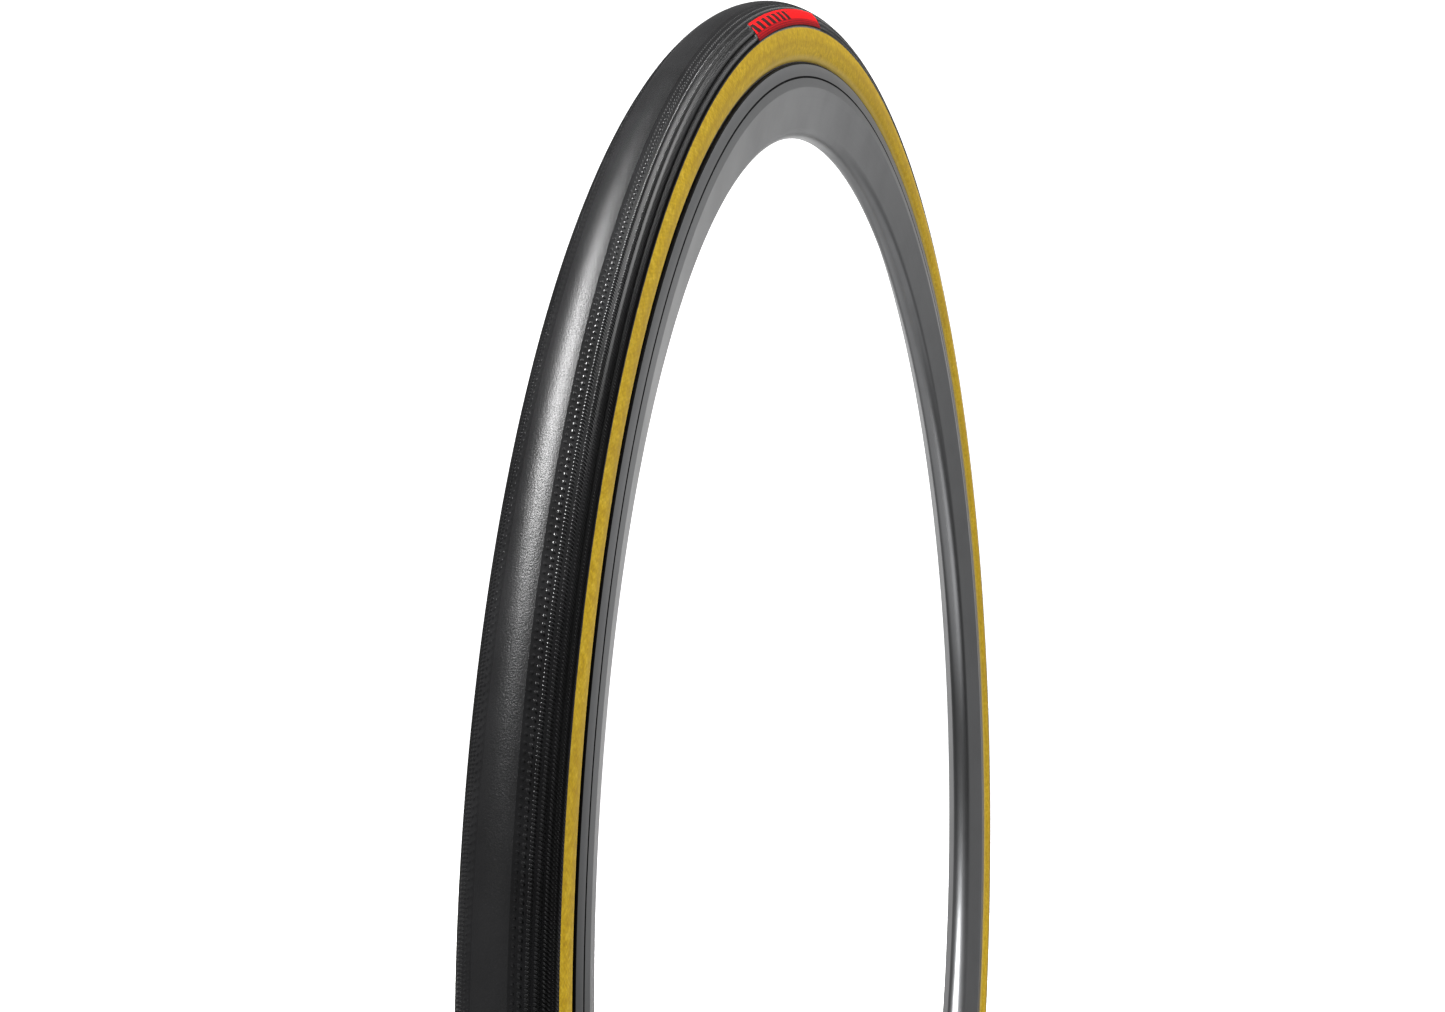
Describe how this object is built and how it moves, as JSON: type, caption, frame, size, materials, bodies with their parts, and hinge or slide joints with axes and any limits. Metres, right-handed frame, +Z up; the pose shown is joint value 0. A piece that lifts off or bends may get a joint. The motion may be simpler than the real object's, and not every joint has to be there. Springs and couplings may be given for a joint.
{
  "type": "bicycle tire",
  "caption": "Road clincher tire with a ribbed black tread and ochre cotton sidewalls, inflated on a bare grey aluminium rim, with tube, rim tape and valve.",
  "frame": {"origin": "centre of the wheel, on the wheel axis, midway between the two sides", "axes": "+Y along the wheel axis, +Z up, valve at the bottom pointing up at the centre"},
  "size_m": [0.6749, 0.0248, 0.6748],
  "materials": {
    "tread_rubber": "satin black rubber, moulded file pattern",
    "sidewall_cotton": "ochre yellow rubbered cotton",
    "belt_fabric": "tight black weave",
    "strip_fabric": "black rubbered nylon",
    "aramid": "yellow aramid yarn",
    "latex": "soft matt latex",
    "valve_rubber": "matt black rubber",
    "seal_rubber": "matt black rubber",
    "label_print": "red hot-pressed label",
    "rim_alloy": "dark grey, satin",
    "sleeve_alloy": "mill finish",
    "tape_cloth": "white cotton tape",
    "brass": "nickel-plated brass, satin",
    "pin_metal": "bare brass",
    "cap_plastic": "black moulded plastic"
  },
  "bodies": {
    "root": {"tread": "tread_rubber", "casing_outer_ply": "sidewall_cotton", "casing_inner_ply": "sidewall_cotton", "puncture_belt": "belt_fabric", "bead_core_left": "aramid", "bead_core_right": "aramid", "rim_strip_left": "strip_fabric", "rim_strip_right": "strip_fabric", "label_left": "label_print", "label_right": "label_print", "inner_tube": "latex", "valve_patch": "valve_rubber", "valve_stem": "brass", "valve_core": "brass", "core_gasket": "seal_rubber", "rim_tape": "tape_cloth", "rim": "rim_alloy", "rim_joint_sleeve": "sleeve_alloy"},
    "washer": {"nut_washer": "brass"},
    "lock_ring": {"rim_nut": "brass"},
    "pin": {"valve_pin": "pin_metal", "pin_seal": "seal_rubber"},
    "tip_nut": {"tip_nut": "brass"},
    "cap": {"valve_cap": "cap_plastic"}
  },
  "joints": [
    {"name": "cap_pull", "type": "slide", "parent": "root", "child": "cap", "axis": [0, 0, 1], "range_m": [0, 0.03]},
    {"name": "washer_lift", "type": "slide", "parent": "root", "child": "washer", "axis": [0, 0, 1], "range_m": [0, 0.008]},
    {"name": "lock_ring_turn", "type": "hinge", "parent": "washer", "child": "lock_ring", "pos_m": [0, 0, -0.285], "axis": [0, 0, 1], "range_deg": [0, 3600]},
    {"name": "pin_press", "type": "slide", "parent": "root", "child": "pin", "axis": [0, 0, -1], "range_m": [0, 0.002], "stiffness_N_per_m": 1500},
    {"name": "tip_nut_turn", "type": "hinge", "parent": "pin", "child": "tip_nut", "pos_m": [0, 0, -0.2574], "axis": [0, 0, 1], "range_deg": [0, 1440]}
  ],
  "couplings": [
    {"joint": "lock_ring_turn", "follows": "washer_lift", "rad_per_m": 7854}
  ]
}
